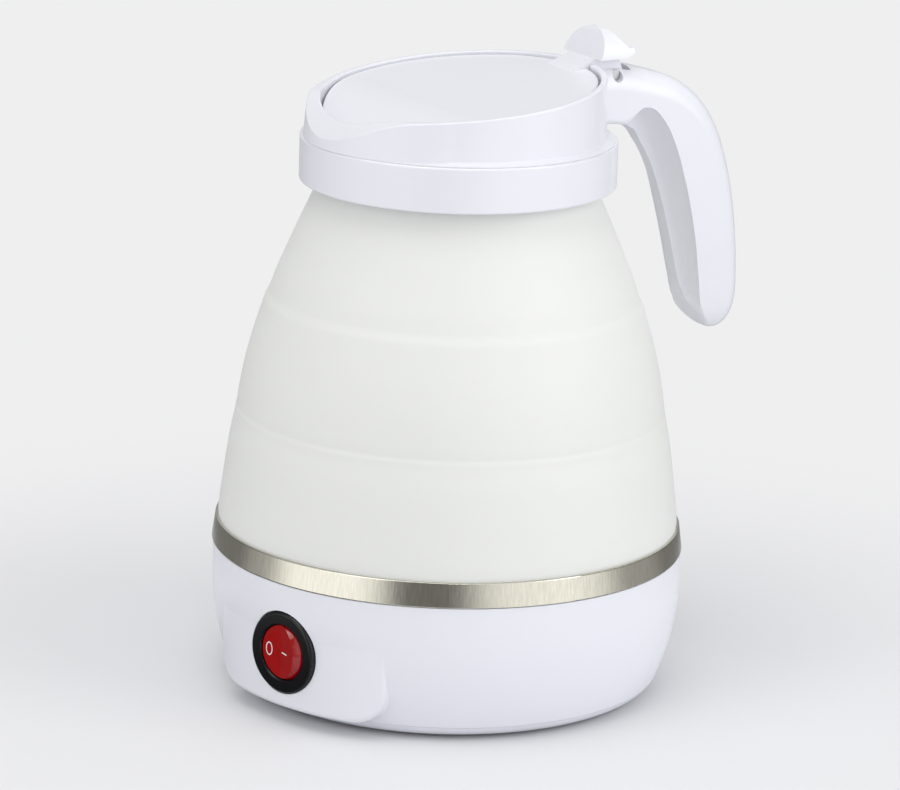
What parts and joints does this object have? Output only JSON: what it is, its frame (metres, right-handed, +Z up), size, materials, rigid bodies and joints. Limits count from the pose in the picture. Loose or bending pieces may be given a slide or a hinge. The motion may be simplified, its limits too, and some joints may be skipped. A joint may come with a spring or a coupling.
{
  "type": "collapsible kettle",
  "caption": "Electric travel kettle that folds flat: a heated base with a rocker switch, a ringed silicone body with two fold lines, and a pouring head with a hinged lid and open handle",
  "frame": {"origin": "on the axis of the round body, in the plane that the feet stand on", "axes": "+Z up along the axis of the body, handle towards +X, spout towards -X; the head is symmetric about the XZ plane and the base is turned 16 degrees about Z against it"},
  "size_m": [0.1546, 0.128, 0.1773],
  "materials": {
    "white_plastic": "gloss",
    "silicone": "satin",
    "stainless": "brushed",
    "aluminium": "satin",
    "screw_steel": "satin",
    "brass": "satin",
    "black_plastic": "satin",
    "red_plastic": "gloss",
    "foot_rubber": "matt",
    "fuse_sleeve": "matt"
  },
  "bodies": {
    "base": {"base_housing": "white_plastic", "bottom_cover": "white_plastic", "rubber_feet": "foot_rubber", "base_screws": "screw_steel", "metal_band": "stainless", "steel_pan": "stainless", "diffuser_plate": "aluminium", "heater_element": "aluminium", "heater_pins": "screw_steel", "thermostat": "black_plastic", "thermostat_bracket": "screw_steel", "bracket_screws": "screw_steel", "thermal_fuse": "fuse_sleeve", "switch_housing": "black_plastic", "switch_terminals": "brass", "inlet_socket": "black_plastic", "inlet_pins": "brass", "silicone_lower_ring": "silicone", "silicone_middle_ring": "silicone"},
    "rocker": {"switch_rocker": "red_plastic"},
    "head": {"silicone_upper_ring": "silicone", "collar_ring": "white_plastic", "pour_cover": "white_plastic", "handle": "white_plastic", "handle_screws": "screw_steel", "lid_hinge_pin": "screw_steel"},
    "lid": {"lid_cover": "white_plastic", "lid_plug": "white_plastic", "lid_seal": "silicone"}
  },
  "joints": [
    {"name": "head_collapse", "type": "slide", "parent": "base", "child": "head", "axis": [0, 0, 1], "range_m": [-0.06, 0], "deforming": ["silicone_middle_ring"]},
    {"name": "lid_hinge", "type": "hinge", "parent": "head", "child": "lid", "pos_m": [0.0446, 0, 0.1647], "axis": [0, 1, 0], "range_deg": [0, 40]},
    {"name": "switch_rock", "type": "hinge", "parent": "base", "child": "rocker", "pos_m": [-0.05739, -0.01646, 0.0199], "axis": [0, 0, 1], "range_deg": [0, 18]}
  ]
}
